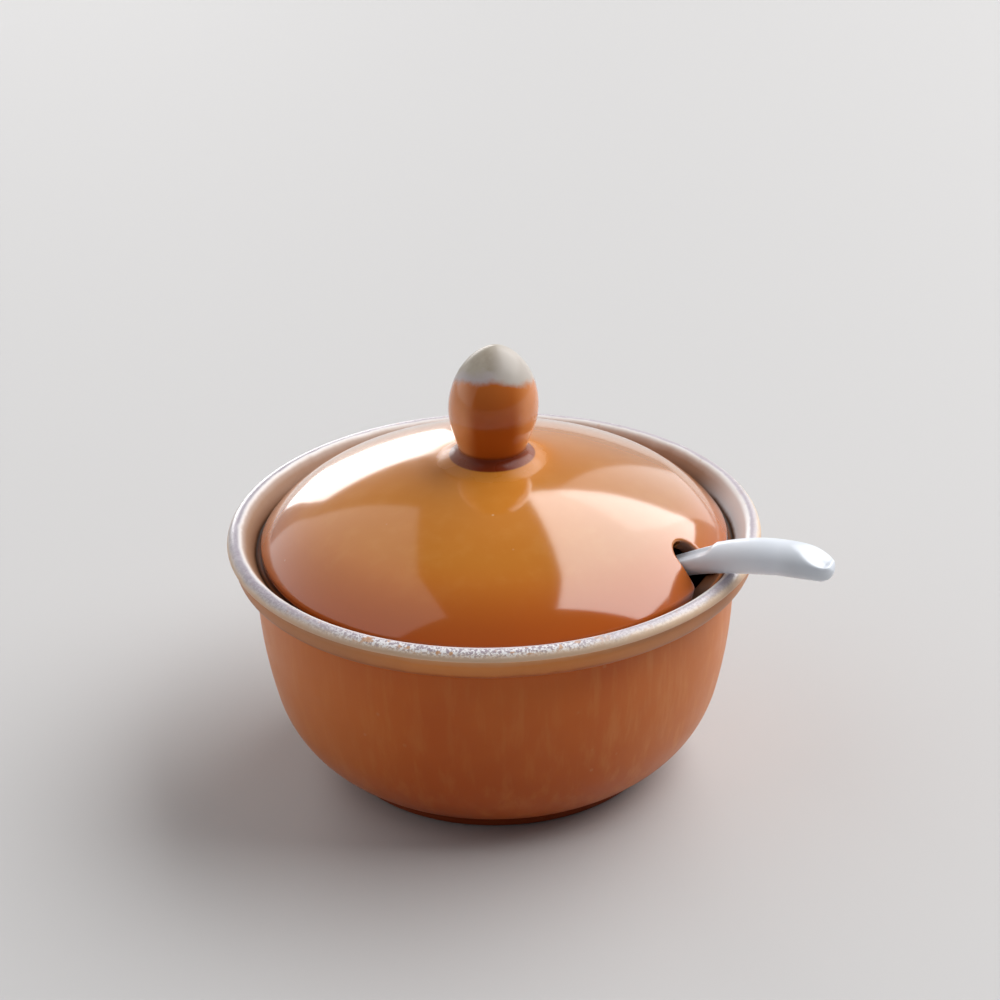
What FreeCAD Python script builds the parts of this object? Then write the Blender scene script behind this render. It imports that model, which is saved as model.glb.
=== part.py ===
"""Small ceramic spice jar: a bowl-shaped pot with a rolled rim, a domed lid with an acorn knob, and its own spoon.

Millimetres. The origin is on the jar's axis, on the plane that the foot stands on. +Z is up and -Y is the front.
Profiles are drawn in the XZ plane, where x is the distance from the jar's axis, and turned about Z.
"""
import FreeCAD, Part
import os
from math import asin, atan2, cos, degrees, hypot, pi, radians, sin, sqrt, tan

Vector = FreeCAD.Vector
AXIS_X = Vector(1, 0, 0)
AXIS_Y = Vector(0, 1, 0)
AXIS_Z = Vector(0, 0, 1)
ORIGIN = Vector(0, 0, 0)

# Pot, overall
rim_radius = 50.0            # outside of the rolled rim
rim_height = 47.85           # crest of the rolled rim
# Pot, rim
rim_roll = 1.66              # radius of the roll's round section
bead_roll = 1.4              # radius of the bead under the rim
bead_setback = 1.5           # how far the bead stays inside the rim
bead_drop = 3.2              # from the roll's centre down to the bead's
bead_groove = 0.5            # radius of the groove between bead and roll
neck_cove = 0.9              # radius of the hollow under the bead
# Pot, wall and foot
rim_overhang = 5.0           # how far the rim stands out over the wall
neck_drop = 9.25             # from the rim's crest to where the wall is upright
wall_lean = radians(14.0)    # lean of the wall where it runs into the belly
belly_radius = 22.0          # round of the belly, in section
belly_end = radians(60.0)    # how far round the belly turns before the foot
wall_thickness = 3.5
floor_thickness = 4.2
foot_height = 2.45           # where the belly ends, above the table
foot_inset = 1.4             # how far the foot ring stays inside the belly's end
foot_width = 4.0             # width of the foot ring
foot_recess = 1.5            # how far the underside stands above the table
foot_edge = 0.5              # rounding of the foot ring's edges
# Pot, gallery that carries the lid
gallery_setback = 5.3        # from the rim's outside to the gallery's wall
gallery_depth = 4.1          # from the rim's crest down to the ledge
mouth_edge = 0.4             # rounding of the ledge's inner edge
# Lid
lid_clearance = 0.9          # between the lid's edge and the gallery's wall
lid_thickness = 3.0
lid_edge_top = 1.36          # rounding of the lid's edge, above
lid_edge_bottom = 0.9        # rounding of the lid's edge, below
lid_edge_land = 0.45         # upright band between the two roundings
shoulder_radius = 25.2       # round of the dome's shoulder, in section
dome_slope = radians(26.6)   # slope where the dome meets its shoulder
shoulder_slope = radians(53.9)
# Knob
collar_radius = 8.3
collar_height = 0.2          # of the collar's soft edge, above the crown of the dome
collar_slope = radians(28.0)
foot_radius = 11.8           # where the knob's foot runs out into the dome
neck_radius = 6.4
neck_height = 2.05           # narrowest place, above the crown
knob_radius = 8.37
knob_belly_height = 10.0     # widest place, above the crown
knob_height = 22.1           # tip, above the crown
# Notch in the lid and spoon
spoon_bearing = -28.0        # degrees about Z, of the notch and of the spoon
notch_depth = 6.3            # inwards from the lid's edge
notch_round = 3.0
notch_flare = radians(11.5)
rest_gap = 0.3               # between the spoon and what it rests on
handle_bend = 55.0           # radius of the handle's arc over the rim
handle_top = 14.2            # from the rim's crest out to the handle's highest place
handle_tip = 5.5             # from there out to the tip
handle_dip = radians(24.5)   # slope of the handle where it goes down through the notch
grip_half_width = 3.9
grip_half_thickness = 3.5
stem_half_width = 2.8
stem_half_thickness = 2.3
slimming_span = 10.5         # the grip slims to the stem over this length each side of the rim
tip_round = 6.0              # length of the rounded tip
trough_radius = 2.8          # trough along the top of the stem
trough_depth = 1.2
trough_runout = 4.5          # how far the trough goes on past the notch before its rounded end
bowl_offset = 17.0           # from the jar's axis to the middle of the spoon's bowl
bowl_half_length = 14.0
bowl_half_width = 9.5
bowl_depth = 6.0
bowl_wall = 1.8
bowl_tilt = radians(12.0)


def at(x, z):
    return Vector(x, 0, z)


def line(a, b):
    return Part.LineSegment(a, b).toShape()


def arc(centre, radius, start, end):
    """Arc in the XZ plane, from angle start to angle end, measured from +X towards +Z."""
    def on(angle):
        return centre + at(radius * cos(angle), radius * sin(angle))
    return Part.Arc(on(start), on((start + end) / 2), on(end)).toShape()


def bearing_of(centre, point):
    return atan2(point.z - centre.z, point.x - centre.x)


def turned(edges):
    """Solid of revolution about Z from a closed outline."""
    return Part.Face(Part.Wire(edges)).revolve(ORIGIN, AXIS_Z, 360)


# Pot: centres and radii that its outside, its inside, the lid and the spoon share
wall_radius = rim_radius - rim_overhang
wall_top = rim_height - neck_drop
sweep_radius = (wall_top - foot_height - belly_radius * (sin(belly_end) - sin(wall_lean))) / sin(wall_lean)
sweep_centre = at(wall_radius - sweep_radius, wall_top)
belly_centre = sweep_centre + at(cos(wall_lean), -sin(wall_lean)) * (sweep_radius - belly_radius)
roll_centre = at(rim_radius - rim_roll, rim_height - rim_roll)
bead_centre = at(rim_radius - bead_setback - bead_roll, roll_centre.z - bead_drop)
gallery_radius = rim_radius - gallery_setback
ledge_height = rim_height - gallery_depth
mouth_radius = wall_radius - wall_thickness
floor_height = foot_recess + floor_thickness

# Lid: its seat is the pot's ledge
lid_radius = gallery_radius - lid_clearance
edge_centre = at(lid_radius - lid_edge_top, ledge_height + lid_edge_bottom + lid_edge_land)
shoulder_centre = edge_centre + at(sin(shoulder_slope), cos(shoulder_slope)) * (lid_edge_top - shoulder_radius)
dome_radius = shoulder_radius + shoulder_centre.x / sin(dome_slope)
dome_centre = at(0, shoulder_centre.z - shoulder_centre.x / tan(dome_slope))
crown_height = dome_centre.z + dome_radius


def rim_edges():
    """Outside of the pot from the top of its wall, over the bead and the roll, to the gallery's ledge."""
    cove_centre = at(wall_radius + neck_cove, 0)
    cove_reach = bead_roll + neck_cove
    cove_centre.z = bead_centre.z - sqrt(cove_reach ** 2 - (bead_centre.x - cove_centre.x) ** 2)
    apart = roll_centre - bead_centre
    from_bead, from_roll = bead_roll + bead_groove, rim_roll + bead_groove
    along = (from_bead ** 2 - from_roll ** 2 + apart.Length ** 2) / (2 * apart.Length)
    across = sqrt(from_bead ** 2 - along ** 2)
    up = apart / apart.Length
    groove_centre = bead_centre + up * along + at(up.z, -up.x) * across
    ledge = at(gallery_radius, ledge_height)
    to_roll = roll_centre - ledge
    slope = atan2(to_roll.z, to_roll.x) + asin(rim_roll / to_roll.Length)
    lip = roll_centre + at(-sin(slope), cos(slope)) * rim_roll
    cove_top = bearing_of(cove_centre, bead_centre)
    groove_low = bearing_of(groove_centre, bead_centre)
    groove_high = bearing_of(groove_centre, roll_centre)
    return [
        line(at(wall_radius, wall_top), at(wall_radius, cove_centre.z)),
        arc(cove_centre, neck_cove, pi, cove_top),
        arc(bead_centre, bead_roll, cove_top - pi, bearing_of(bead_centre, groove_centre)),
        arc(groove_centre, bead_groove, groove_low + 2 * pi, groove_high),
        arc(roll_centre, rim_roll, bearing_of(roll_centre, groove_centre), slope + pi / 2),
        line(lip, ledge),
    ]


def foot_edges():
    """Underside, foot ring and belly of the pot, from its axis to the top of its wall."""
    belly_foot = belly_centre + at(cos(belly_end), -sin(belly_end)) * belly_radius
    outer = belly_foot.x - foot_inset
    outer_top = belly_foot.z - foot_inset / tan(belly_end)
    inner = outer - foot_width
    return [
        line(at(0, foot_recess), at(inner, foot_recess)),
        line(at(inner, foot_recess), at(inner, foot_edge)),
        arc(at(inner + foot_edge, foot_edge), foot_edge, pi, 1.5 * pi),
        line(at(inner + foot_edge, 0), at(outer - foot_edge, 0)),
        arc(at(outer - foot_edge, foot_edge), foot_edge, -pi / 2, 0),
        line(at(outer, foot_edge), at(outer, outer_top)),
        line(at(outer, outer_top), belly_foot),
        arc(belly_centre, belly_radius, -belly_end, -wall_lean),
        arc(sweep_centre, sweep_radius, -wall_lean, 0),
    ]


def inside_edges():
    """Ledge, inner wall and floor of the pot, from the gallery's wall to the axis."""
    join = sweep_centre + at(cos(wall_lean), -sin(wall_lean)) * (sweep_radius - wall_thickness)
    corner_radius = (join.z - floor_height) / (1 - sin(wall_lean))
    corner = join - at(cos(wall_lean), -sin(wall_lean)) * corner_radius
    return [
        line(at(gallery_radius, ledge_height), at(mouth_radius + mouth_edge, ledge_height)),
        arc(at(mouth_radius + mouth_edge, ledge_height - mouth_edge), mouth_edge, pi / 2, pi),
        line(at(mouth_radius, ledge_height - mouth_edge), at(mouth_radius, wall_top)),
        arc(sweep_centre, sweep_radius - wall_thickness, 0, -wall_lean),
        arc(corner, corner_radius, -wall_lean, -pi / 2),
        line(at(corner.x, floor_height), at(0, floor_height)),
        line(at(0, floor_height), at(0, foot_recess)),
    ]


def make_pot():
    return turned(foot_edges() + rim_edges() + inside_edges())


def knob_edge():
    """Neck and acorn of the knob, as one smooth curve up to its tip.

    The neck swells as sin(t)^1.2, and above the widest place the radius falls as (1 - f^2)^0.6, a blunt point."""
    neck_z = crown_height + neck_height
    belly_height = crown_height + knob_belly_height
    tip_height = crown_height + knob_height
    points = [at(neck_radius, neck_z)]
    for share in (0.25, 0.5, 0.75, 1.0):
        swell = sin(share * pi / 2) ** 1.2
        points.append(at(neck_radius + (knob_radius - neck_radius) * swell,
                         neck_z + (belly_height - neck_z) * share))
    for share in (0.3, 0.55, 0.75, 0.9, 0.97):
        points.append(at(knob_radius * (1 - share ** 2) ** 0.6,
                         belly_height + (tip_height - belly_height) * share))
    points.append(at(0, tip_height))
    curve = Part.BSplineCurve()
    curve.interpolate(Points=points, InitialTangent=AXIS_Z, FinalTangent=-AXIS_X)
    return curve.toShape()


def dome_at(x):
    return at(x, dome_centre.z + sqrt(dome_radius ** 2 - x ** 2))


def foot_edge_curves():
    """Knob's foot: from the neck out over the soft collar, then a hollow that runs out into the dome."""
    neck = at(neck_radius, crown_height + neck_height)
    collar = at(collar_radius, crown_height + collar_height)
    foot = dome_at(foot_radius)
    down_collar = at(cos(collar_slope), -sin(collar_slope))
    dome_tangent = at(foot.z - dome_centre.z, -foot.x) / dome_radius
    upper, lower = Part.BSplineCurve(), Part.BSplineCurve()
    upper.interpolate(Points=[neck, collar], InitialTangent=-AXIS_Z, FinalTangent=down_collar)
    lower.interpolate(Points=[collar, foot], InitialTangent=down_collar, FinalTangent=dome_tangent)
    return [upper.toShape(), lower.toShape()]


def lid_edges():
    """Outline of the lid: knob and its foot, dome, shoulder, edge and seat, then back under the dome."""
    under = shoulder_radius - lid_thickness
    seat_angle = asin((ledge_height - shoulder_centre.z) / under)
    seat_end = at(shoulder_centre.x + under * cos(seat_angle), ledge_height)
    seat_start = at(lid_radius - lid_edge_bottom, ledge_height)
    tip = at(0, crown_height + knob_height)
    roof = at(0, crown_height - lid_thickness)
    return [
        knob_edge(),
        *foot_edge_curves(),
        arc(dome_centre, dome_radius, bearing_of(dome_centre, dome_at(foot_radius)), pi / 2 - dome_slope),
        arc(shoulder_centre, shoulder_radius, pi / 2 - dome_slope, pi / 2 - shoulder_slope),
        arc(edge_centre, lid_edge_top, pi / 2 - shoulder_slope, 0),
        line(at(lid_radius, edge_centre.z), at(lid_radius, ledge_height + lid_edge_bottom)),
        arc(at(lid_radius - lid_edge_bottom, ledge_height + lid_edge_bottom), lid_edge_bottom, 0, -pi / 2),
        line(seat_start, seat_end),
        arc(shoulder_centre, under, seat_angle, pi / 2 - dome_slope),
        arc(dome_centre, dome_radius - lid_thickness, pi / 2 - dome_slope, pi / 2),
        line(roof, tip),
    ]


def notch_cutter():
    """Round-ended, flaring slot through the lid's edge, cut square to the slope of the shoulder there."""
    inner_x = lid_radius - notch_depth
    inner = at(inner_x, shoulder_centre.z + sqrt(shoulder_radius ** 2 - (inner_x - shoulder_centre.x) ** 2))
    run = at(lid_radius, edge_centre.z) - inner
    length = run.Length + lid_thickness + lid_clearance
    outwards = run / run.Length
    square = AXIS_Y.cross(outwards) * -1

    def on(along, across):
        return inner + outwards * along + AXIS_Y * across

    side_start = notch_round * (1 - sin(notch_flare))
    side_half = notch_round * cos(notch_flare)
    end_half = side_half + (length - side_start) * tan(notch_flare)
    outline = Part.Wire([
        Part.Arc(on(side_start, side_half), on(0, 0), on(side_start, -side_half)).toShape(),
        line(on(side_start, -side_half), on(length, -end_half)),
        line(on(length, -end_half), on(length, end_half)),
        line(on(length, end_half), on(side_start, side_half)),
    ])
    outline.translate(square * (-2.5 * lid_thickness))
    return Part.Face(outline).extrude(square * (5 * lid_thickness))


def make_lid():
    notch = notch_cutter()
    notch.rotate(ORIGIN, AXIS_Z, spoon_bearing)
    return turned(lid_edges()).cut(notch)


# Spoon: its centre line is two arcs that meet at the slope handle_dip, drawn in the XZ plane
over_rim = rim_roll + rest_gap + (grip_half_thickness + stem_half_thickness) / 2
handle_centre = at(roll_centre.x + handle_top,
                   roll_centre.z - sqrt((handle_bend - over_rim) ** 2 - handle_top ** 2))
dip_point = handle_centre + at(-sin(handle_dip), cos(handle_dip)) * handle_bend
bowl_sag = hypot(bowl_half_length * sin(bowl_tilt), bowl_depth * cos(bowl_tilt))
bowl_centre = at(-bowl_offset, floor_height + rest_gap + bowl_sag)
stem_end = bowl_centre + at(cos(bowl_tilt), sin(bowl_tilt)) * (bowl_half_length - bowl_wall / 2)
stem_chord = dip_point - stem_end
stem_turn = 2 * (atan2(stem_chord.z, stem_chord.x) - handle_dip)
stem_bend = stem_chord.Length / (2 * sin(stem_turn / 2))
stem_centre = dip_point - at(-sin(handle_dip), cos(handle_dip)) * stem_bend
tip_rise = -asin(handle_tip / handle_bend)
rim_distance = handle_bend * (asin(handle_top / (handle_bend - over_rim)) - tip_rise)
handle_length = handle_bend * (handle_dip - tip_rise)
stem_length = stem_bend * stem_turn


def spoon_line(distance):
    """Point and slope of the spoon's centre line, at a distance along it from the tip."""
    if distance <= handle_length:
        slope = tip_rise + distance / handle_bend
        return handle_centre + at(-sin(slope), cos(slope)) * handle_bend, slope
    slope = handle_dip + (distance - handle_length) / stem_bend
    return stem_centre + at(-sin(slope), cos(slope)) * stem_bend, slope


def blend(first, last, share):
    return first + (last - first) * share


def spoon_section(distance):
    """Elliptical section: full at the grip, slimmer at the stem, and rounded off at the tip."""
    past_rim = min(max((distance - rim_distance) / slimming_span, -1.0), 1.0)
    slimming = (1 + sin(pi / 2 * past_rim)) / 2
    rounding = sqrt(1 - (1 - min(distance / tip_round, 1.0)) ** 2)
    half_width = blend(grip_half_width, stem_half_width, slimming) * rounding
    half_thickness = blend(grip_half_thickness, stem_half_thickness, slimming) * rounding
    centre, slope = spoon_line(distance)
    ellipse = Part.Ellipse(centre + AXIS_Y * half_width,
                           centre + at(-sin(slope), cos(slope)) * half_thickness, centre)
    return Part.Wire(ellipse.toShape())


def make_handle():
    """Loft through sections that crowd towards the rounded tip."""
    tip_steps, body_steps = 6, 12
    stations = [tip_round * (1 - cos(pi / 2 * step / tip_steps)) for step in range(1, tip_steps + 1)]
    body = handle_length + stem_length - tip_round
    stations += [tip_round + body * step / body_steps for step in range(1, body_steps + 1)]
    sections = [Part.Vertex(spoon_line(0)[0])] + [spoon_section(distance) for distance in stations]
    return Part.makeLoft(sections, True, False)


def ellipsoid(half_length, half_width, half_depth):
    """Ellipsoid about the spoon bowl's centre, tilted with the bowl."""
    matrix = FreeCAD.Matrix()
    matrix.scale(Vector(half_length, half_width, half_depth))
    shape = Part.makeSphere(1.0).transformGeometry(matrix)
    shape.rotate(ORIGIN, AXIS_Y, -degrees(bowl_tilt))
    shape.translate(bowl_centre)
    return shape


def above_bowl():
    """Everything above the plane of the spoon bowl's edge."""
    block = Part.makeBox(4 * bowl_half_length, 4 * bowl_half_width, 2 * bowl_depth,
                         Vector(-2 * bowl_half_length, -2 * bowl_half_width, 0))
    block.rotate(ORIGIN, AXIS_Y, -degrees(bowl_tilt))
    block.translate(bowl_centre)
    return block


def trough_cutter():
    """Round bar over the stem that bites trough_depth into its top, with a round end past the notch."""
    along, square = at(cos(handle_dip), sin(handle_dip)), at(-sin(handle_dip), cos(handle_dip))
    start = dip_point + square * (stem_half_thickness + trough_radius - trough_depth)
    section = Part.Face(Part.Wire(Part.Circle(start, along, trough_radius).toShape()))
    bent = section.revolve(stem_centre, AXIS_Y, -degrees(stem_turn + bowl_wall / stem_bend))
    end = Part.makeSphere(trough_radius, start + along * trough_runout)
    return bent.fuse([section.extrude(along * trough_runout), end])


def make_spoon():
    root = Part.makeSphere(stem_half_width, stem_end)
    body = ellipsoid(bowl_half_length, bowl_half_width, bowl_depth).cut(above_bowl())
    hollow = ellipsoid(bowl_half_length - bowl_wall, bowl_half_width - bowl_wall, bowl_depth - bowl_wall)
    spoon = body.fuse([make_handle(), root]).cut([hollow, trough_cutter()])
    spoon.rotate(ORIGIN, AXIS_Z, spoon_bearing)
    return spoon


os.makedirs("parts", exist_ok=True)
for node, shape in (("pot", make_pot()), ("lid", make_lid()), ("spoon", make_spoon())):
    shape.exportStep("parts/" + node + ".step")
    box = shape.BoundBox
    print(node, "solids", len(shape.Solids), "valid", shape.isValid(), "volume mm3", round(shape.Volume),
          "box", [round(value, 2) for value in (box.XMin, box.YMin, box.ZMin, box.XMax, box.YMax, box.ZMax)])
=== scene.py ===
# %% [markdown]
# # Ceramic spice jar
# A small stoneware pot with a domed, notched lid and its own porcelain spoon, on a plain pale table. The
# frame holds the jar's plain solids, in metres, with the jar's axis on Z and the front towards -Y. Each
# solid gets a finely rounded surface here, worked out from the same round profiles. Sculpting or modifiers
# could round the solids too, but a formula gives clean rings of faces and numbers along them that the
# glazes can read.

import bpy
import numpy as np
from math import asin, atan2, cos, hypot, pi, radians, sin, sqrt, tan
from mathutils import Matrix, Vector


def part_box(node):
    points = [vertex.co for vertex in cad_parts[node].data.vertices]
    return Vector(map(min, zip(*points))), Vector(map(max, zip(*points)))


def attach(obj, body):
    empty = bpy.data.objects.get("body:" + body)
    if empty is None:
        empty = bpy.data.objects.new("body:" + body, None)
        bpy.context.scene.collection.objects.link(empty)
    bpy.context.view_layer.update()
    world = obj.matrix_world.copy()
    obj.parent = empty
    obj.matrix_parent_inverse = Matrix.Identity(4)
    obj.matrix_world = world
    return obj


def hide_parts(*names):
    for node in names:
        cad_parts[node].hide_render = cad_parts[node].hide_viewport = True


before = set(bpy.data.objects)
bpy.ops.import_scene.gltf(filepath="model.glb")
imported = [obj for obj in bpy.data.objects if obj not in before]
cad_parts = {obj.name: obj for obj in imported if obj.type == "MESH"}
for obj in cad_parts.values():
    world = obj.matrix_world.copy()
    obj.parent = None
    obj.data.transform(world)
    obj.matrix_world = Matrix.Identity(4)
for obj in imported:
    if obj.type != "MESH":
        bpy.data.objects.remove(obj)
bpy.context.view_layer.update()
pot_low, pot_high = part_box("pot")
lid_low, lid_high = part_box("lid")
spoon_low, spoon_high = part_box("spoon")
print("pot", pot_low, pot_high)
print("lid", lid_low, lid_high)
print("spoon", spoon_low, spoon_high)

# %% [markdown]
# ## Shared sizes
# Everything is worked out in millimetres and written to the meshes in metres. The overall sizes are read
# from the solids, so the surfaces follow them.

# %% Overall sizes
MM = 0.001
rim_radius = min(pot_high[0], -pot_low[0]) / MM
rim_height = pot_high[2] / MM
ledge = lid_low[2] / MM
knob_tip = lid_high[2] / MM
lid_radius = lid_high[0] / MM
print("rim", round(rim_radius, 2), round(rim_height, 2), "ledge", round(ledge, 2),
      "lid", round(lid_radius, 2), "tip", round(knob_tip, 2))

# %% [markdown]
# A potter's pieces are outlines turned about an axis. Each outline is put together from arcs, straight
# lines and eased curves, as points (radius, height). A spline tool could draw them, but arcs keep their
# radii exactly.

# %% Curve helpers
def arc(centre, radius, start, end, count):
    """Points (r, z) = centre + radius (cos a, sin a), with a running evenly from start to end."""
    a = np.linspace(start, end, count)
    return np.stack([centre[0] + radius * np.cos(a), centre[1] + radius * np.sin(a)], axis=1)


def straight(first, last, count):
    """Points (r, z) evenly spaced from first to last."""
    share = np.linspace(0.0, 1.0, count)[:, None]
    return np.array(first) * (1 - share) + np.array(last) * share


def eased(first, first_way, last, last_way, count):
    """Cubic from first to last that leaves and arrives along two directions.

    It is a (1 + 2t)(1 - t)^2 + b t^2 (3 - 2t) + chord (da t (1 - t)^2 - db t^2 (1 - t))."""
    a, b = np.array(first, float), np.array(last, float)
    chord = np.linalg.norm(b - a)
    t = np.linspace(0.0, 1.0, count)[:, None]
    return (a * (1 + 2 * t) * (1 - t) ** 2 + b * t ** 2 * (3 - 2 * t)
            + chord * (np.array(first_way) * t * (1 - t) ** 2 - np.array(last_way) * t ** 2 * (1 - t)))


def joined(*pieces):
    """One outline from its pieces, with the doubled joints left out."""
    points = np.concatenate(pieces)
    keep = np.ones(len(points), bool)
    keep[1:] = np.linalg.norm(np.diff(points, axis=0), axis=1) > 1e-4
    return points[keep]


def smooth(x, low, high):
    """Smooth step: 0 below low, 1 above high, 3t^2 - 2t^3 between."""
    t = np.clip((x - low) / (high - low), 0.0, 1.0)
    return t * t * (3 - 2 * t)

print("smooth step at a quarter of the way", smooth(0.25, 0.0, 1.0))

# %% [markdown]
# A piece becomes a closed mesh of rings with a fan of triangles at each end. The rings are worked out as
# whole arrays, and numbers such as the way along the outline are stored on the points for the glazes.

# %% Mesh helper
def loop_mesh(name, rings, top, bottom, attributes=None):
    """Closed mesh from an array of rings (rows, columns, 3) in millimetres and two end points.

    Columns run anticlockwise seen from the first end, so the faces look outwards."""
    rows, columns = rings.shape[:2]
    points = np.concatenate([rings.reshape(-1, 3), [top], [bottom]]) * MM
    index = np.arange(rows * columns).reshape(rows, columns)
    right = np.roll(index, -1, axis=1)
    quads = np.stack([index[:-1], index[1:], right[1:], right[:-1]], axis=-1).reshape(-1, 4)
    head, tail = rows * columns, rows * columns + 1
    fan_top = np.stack([np.full(columns, head), index[0], right[0]], axis=-1)
    fan_bottom = np.stack([np.full(columns, tail), right[-1], index[-1]], axis=-1)
    mesh = bpy.data.meshes.new(name)
    mesh.from_pydata(points.tolist(), [], quads.tolist() + fan_top.tolist() + fan_bottom.tolist())
    mesh.polygons.foreach_set("use_smooth", np.ones(len(mesh.polygons), bool))
    for key, values in (attributes or {}).items():
        layer = mesh.attributes.new(key, "FLOAT", "POINT")
        layer.data.foreach_set("value", np.asarray(values, dtype=np.float32))
    mesh.validate()
    piece = bpy.data.objects.new(name, mesh)
    bpy.context.scene.collection.objects.link(piece)
    print(name, "vertices", len(mesh.vertices), "faces", len(mesh.polygons))
    return piece


def turned(profile, columns):
    """Rings of a surface of revolution: (r cos t, r sin t, z) for columns even steps of t."""
    t = np.linspace(0, 2 * pi, columns, endpoint=False)
    r, z = profile[:, :1], profile[:, 1:]
    return np.stack([r * np.cos(t), r * np.sin(t), z + 0 * t], axis=-1)

# %% [markdown]
# ## Pot
# The pot is thrown and glazed stoneware: a bowl-shaped body on a turned foot ring, a small bead under a
# rolled rim, and a ledge inside the rim that carries the lid. One outline turned about the axis gives the
# whole surface. On the roll and the bead the glaze is drawn thin by its own surface tension; in the grooves
# it pools.

# %% Pot sizes
roll, nose = 1.66, 0.5
roll_centre = np.array([rim_radius - roll, rim_height - roll])
wall_radius, wall_top = rim_radius - 5.0, rim_height - 9.25
lean, belly, belly_end, thickness = radians(14.0), 22.0, radians(60.0), 3.5
foot_height, foot_inset, foot_width, foot_recess = 2.45, 1.4, 4.0, 1.5
floor_thickness, middle_hole = 4.2, 0.3
floor_height = foot_recess + floor_thickness
gallery_radius = rim_radius - 5.3
mouth_radius = wall_radius - thickness
sweep = (wall_top - foot_height - belly * (sin(belly_end) - sin(lean))) / sin(lean)
sweep_centre = np.array([wall_radius - sweep, wall_top])
belly_centre = sweep_centre + (sweep - belly) * np.array([cos(lean), -sin(lean)])
print("sweep radius", round(sweep, 2), "belly centre", belly_centre.round(2))

# %% [markdown]
# The rim is what the eye goes to: a full roll with a tighter nose on its outside, a fine groove under it,
# and a bead. A plain circle would look cast, so the parts are joined by curves that leave and arrive along
# chosen directions.

# %% Rim outline
down, inwards = (0.0, -1.0), (-1.0, 0.0)
nose_way, groove_way = (-0.98, -0.17), (0.15, -0.99)
full_down, full_inwards = (0.0, -1.4), (-1.4, 0.0)


def rim_outline():
    """Outside of the rim from the gallery's ledge over the roll, the fine groove and the bead to the wall.

    The lip is the tangent from the ledge to the roll, at the reach's angle plus asin(roll / reach)."""
    foot_of_lip = np.array([gallery_radius, ledge])
    reach_lip = roll_centre - foot_of_lip
    slope = atan2(reach_lip[1], reach_lip[0]) + asin(roll / np.linalg.norm(reach_lip))
    lip = roll_centre + roll * np.array([-sin(slope), cos(slope)])
    turn_in, turn_end = radians(6.0), radians(-80.0)
    nose_centre = roll_centre + (roll - nose) * np.array([cos(turn_in), sin(turn_in)])
    nose_end = nose_centre + nose * np.array([cos(turn_end), sin(turn_end)])
    groove_point = (rim_radius - 1.35, rim_height - 2.65)
    bead_point = (rim_radius - 1.15, rim_height - 3.95)
    bead_foot = (rim_radius - 2.8, rim_height - 6.2)
    wall_start = (wall_radius, rim_height - 7.2)
    return joined(
        straight(foot_of_lip, lip, 12),
        arc(roll_centre, roll, slope + pi / 2, turn_in, 34),
        arc(nose_centre, nose, turn_in, turn_end, 12),
        eased(nose_end, nose_way, groove_point, groove_way, 8),
        eased(groove_point, groove_way, bead_point, down, 8),
        eased(bead_point, full_down, bead_foot, full_inwards, 18),
        eased(bead_foot, inwards, wall_start, down, 12),
        straight(wall_start, (wall_radius, wall_top), 4))

print("rim points", len(rim_outline()))

# %% [markdown]
# Under the rim the wall sweeps in along a wide arc, then the belly turns under along a smaller one. The two
# arcs share a tangent, so no edge shows where they meet. The foot ring is turned out of the same clay.

# %% Outside and inside outlines
def outside_outline():
    """From the top of the wall along the two arcs, then round the foot ring and in under the recess."""
    belly_foot = belly_centre + belly * np.array([cos(belly_end), -sin(belly_end)])
    outer, edge = belly_foot[0] - foot_inset, 0.5
    outer_top = belly_foot[1] - foot_inset / tan(belly_end)
    inner = outer - foot_width
    return joined(
        arc(sweep_centre, sweep, 0, -lean, 26),
        arc(belly_centre, belly, -lean, -belly_end, 26),
        straight(belly_foot, (outer, outer_top), 4),
        straight((outer, outer_top), (outer, edge), 4),
        arc((outer - edge, edge), edge, 0, -pi / 2, 6),
        straight((outer - edge, 0), (inner + edge, 0), 6),
        arc((inner + edge, edge), edge, 1.5 * pi, pi, 6),
        straight((inner, edge), (inner, foot_recess), 3),
        straight((inner, foot_recess), (middle_hole, foot_recess), 14))


def inside_outline():
    """From the middle of the floor up the inside, one wall's thickness in, and over the ledge's edge."""
    soft = 0.4
    join = sweep_centre + (sweep - thickness) * np.array([cos(lean), -sin(lean)])
    corner = (join[1] - floor_height) / (1 - sin(lean))
    corner_centre = join - corner * np.array([cos(lean), -sin(lean)])
    return joined(
        straight((middle_hole, floor_height), (corner_centre[0], floor_height), 12),
        arc(corner_centre, corner, -pi / 2, -lean, 18),
        arc(sweep_centre, sweep - thickness, -lean, 0, 14),
        straight((mouth_radius, wall_top), (mouth_radius, ledge - soft), 4),
        arc((mouth_radius + soft, ledge - soft), soft, pi, pi / 2, 5),
        straight((mouth_radius + soft, ledge), (gallery_radius, ledge), 5))

pot_profile = joined(inside_outline(), rim_outline(), outside_outline())
print("pot outline", len(pot_profile), "points, r to", pot_profile[:, 0].max().round(3))

# %% [markdown]
# Two numbers along the outline tell the glaze how it lies: `band`, the way in millimetres from the crest of
# the rim, outwards over the roll and inwards down the lip, and a second number for the dark places under the
# bead and at the foot, partly pooled glaze and partly painted shade. Painting these by hand on the mesh would
# also work, but measured along the outline they are even all round.

# %% Pot mesh
POT_COLUMNS, BAND_LOW, BAND_HIGH = 320, -12.0, 24.0
steps = np.linalg.norm(np.diff(pot_profile, axis=0), axis=1)
way = np.append(0.0, np.cumsum(steps))
band = np.clip(way - way[np.argmax(pot_profile[:, 1])], BAND_LOW, BAND_HIGH)
outer_side = np.arange(len(pot_profile)) >= len(inside_outline()) - 1


def near(centre, spread):
    """exp(-(distance / spread)^2) of the outline's points from a place on its outer side."""
    distance = np.linalg.norm(pot_profile - np.array(centre), axis=1)
    return np.exp(-(distance / spread) ** 2) * outer_side

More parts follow.
